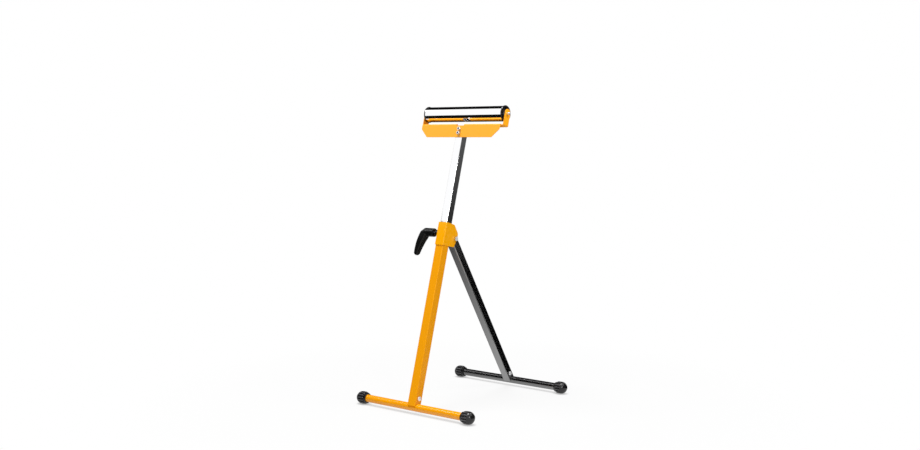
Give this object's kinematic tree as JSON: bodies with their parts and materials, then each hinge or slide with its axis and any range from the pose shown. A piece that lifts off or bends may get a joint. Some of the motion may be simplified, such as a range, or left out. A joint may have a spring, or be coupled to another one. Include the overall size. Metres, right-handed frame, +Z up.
{
  "type": "folding roller stand",
  "caption": "Folding workshop stand: a leaning square leg and a hinged rear leg on capped cross tubes, with a clamped chrome post that carries a free-running roller for long stock.",
  "frame": {"origin": "on the floor, midway between the front and the rear foot, under the roller's middle", "axes": "+Z up, +Y from the front foot to the rear foot, +X along the roller to the right as seen from the front"},
  "size_m": [0.4268, 0.4994, 0.8685],
  "materials": {
    "yellow_paint": "satin powder coat",
    "black_paint": "satin powder coat",
    "chrome": "polished",
    "zinc": "bright zinc",
    "steel": "ground",
    "black_plastic": "moulded, satin",
    "grey_plastic": "moulded",
    "black_steel": "blackened"
  },
  "bodies": {
    "front_frame": {"front_leg": "yellow_paint", "front_foot_tube": "yellow_paint", "front_foot_stub": "yellow_paint", "front_foot_bolt": "zinc", "front_foot_nut": "zinc", "front_foot_cap_left": "black_plastic", "front_foot_cap_right": "black_plastic", "pivot_collar": "yellow_paint", "clamp_boss": "black_steel", "pivot_bolt": "zinc", "pivot_nut": "zinc", "pivot_washer_left": "grey_plastic", "pivot_washer_right": "grey_plastic"},
    "rear_frame": {"rear_leg": "black_paint", "rear_pivot_bush": "steel", "rear_foot_tube": "black_paint", "rear_foot_stub": "black_paint", "rear_foot_bolt": "zinc", "rear_foot_nut": "zinc", "rear_foot_cap_left": "black_plastic", "rear_foot_cap_right": "black_plastic"},
    "post": {"post_tube": "chrome", "post_end_plug": "black_plastic", "head_bracket": "yellow_paint", "head_screw_upper": "zinc", "head_screw_lower": "zinc", "head_nut_upper": "zinc", "head_nut_lower": "zinc", "axle": "zinc", "axle_clip_left": "zinc", "axle_clip_right": "zinc", "axle_spacer_left": "zinc", "axle_spacer_right": "zinc", "bearing_inner_race_left": "steel", "bearing_inner_race_right": "steel"},
    "roller": {"roller_tube": "chrome", "roller_end_cap_left": "black_plastic", "roller_end_cap_right": "black_plastic", "bearing_outer_race_left": "steel", "bearing_outer_race_right": "steel"},
    "left_balls": {"ball_cage_left": "steel"},
    "right_balls": {"ball_cage_right": "steel"},
    "pad": {"clamp_pad": "steel"},
    "clamp_screw": {"clamp_stud": "steel", "lever_screw": "zinc", "lever_spring": "steel"},
    "lever": {"clamp_lever": "black_plastic"}
  },
  "joints": [
    {"name": "rear_fold", "type": "hinge", "parent": "front_frame", "child": "rear_frame", "pos_m": [0, -0.06191, 0.4841], "axis": [-1, 0, 0], "range_deg": [0, 48.1]},
    {"name": "post_slide", "type": "slide", "parent": "front_frame", "child": "post", "axis": [0, 0.2756, 0.9613], "range_m": [-0.1912, 0.2288]},
    {"name": "roller_spin", "type": "hinge", "parent": "post", "child": "roller", "pos_m": [0, 0.01069, 0.84466], "axis": [1, 0, 0], "continuous": true},
    {"name": "left_balls_spin", "type": "hinge", "parent": "post", "child": "left_balls", "pos_m": [0, 0.01069, 0.84466], "axis": [1, 0, 0], "continuous": true},
    {"name": "right_balls_spin", "type": "hinge", "parent": "post", "child": "right_balls", "pos_m": [0, 0.01069, 0.84466], "axis": [1, 0, 0], "continuous": true},
    {"name": "clamp_advance", "type": "slide", "parent": "front_frame", "child": "pad", "axis": [-1, 0, 0], "range_m": [0, 0.00115]},
    {"name": "clamp_turn", "type": "hinge", "parent": "pad", "child": "clamp_screw", "pos_m": [-0.0158, -0.09299, 0.50123], "axis": [-1, 0, 0], "range_deg": [0, 270]},
    {"name": "lever_lift", "type": "slide", "parent": "clamp_screw", "child": "lever", "axis": [-1, 0, 0], "range_m": [0, 0.0055], "stiffness_N_per_m": 800, "springref_m": -0.002, "deforming": ["lever_spring"]}
  ],
  "couplings": [
    {"joint": "left_balls_spin", "follows": "roller_spin", "ratio": 0.62},
    {"joint": "right_balls_spin", "follows": "roller_spin", "ratio": 0.62},
    {"joint": "clamp_advance", "follows": "clamp_turn", "m_per_rad": 0.00023873}
  ]
}
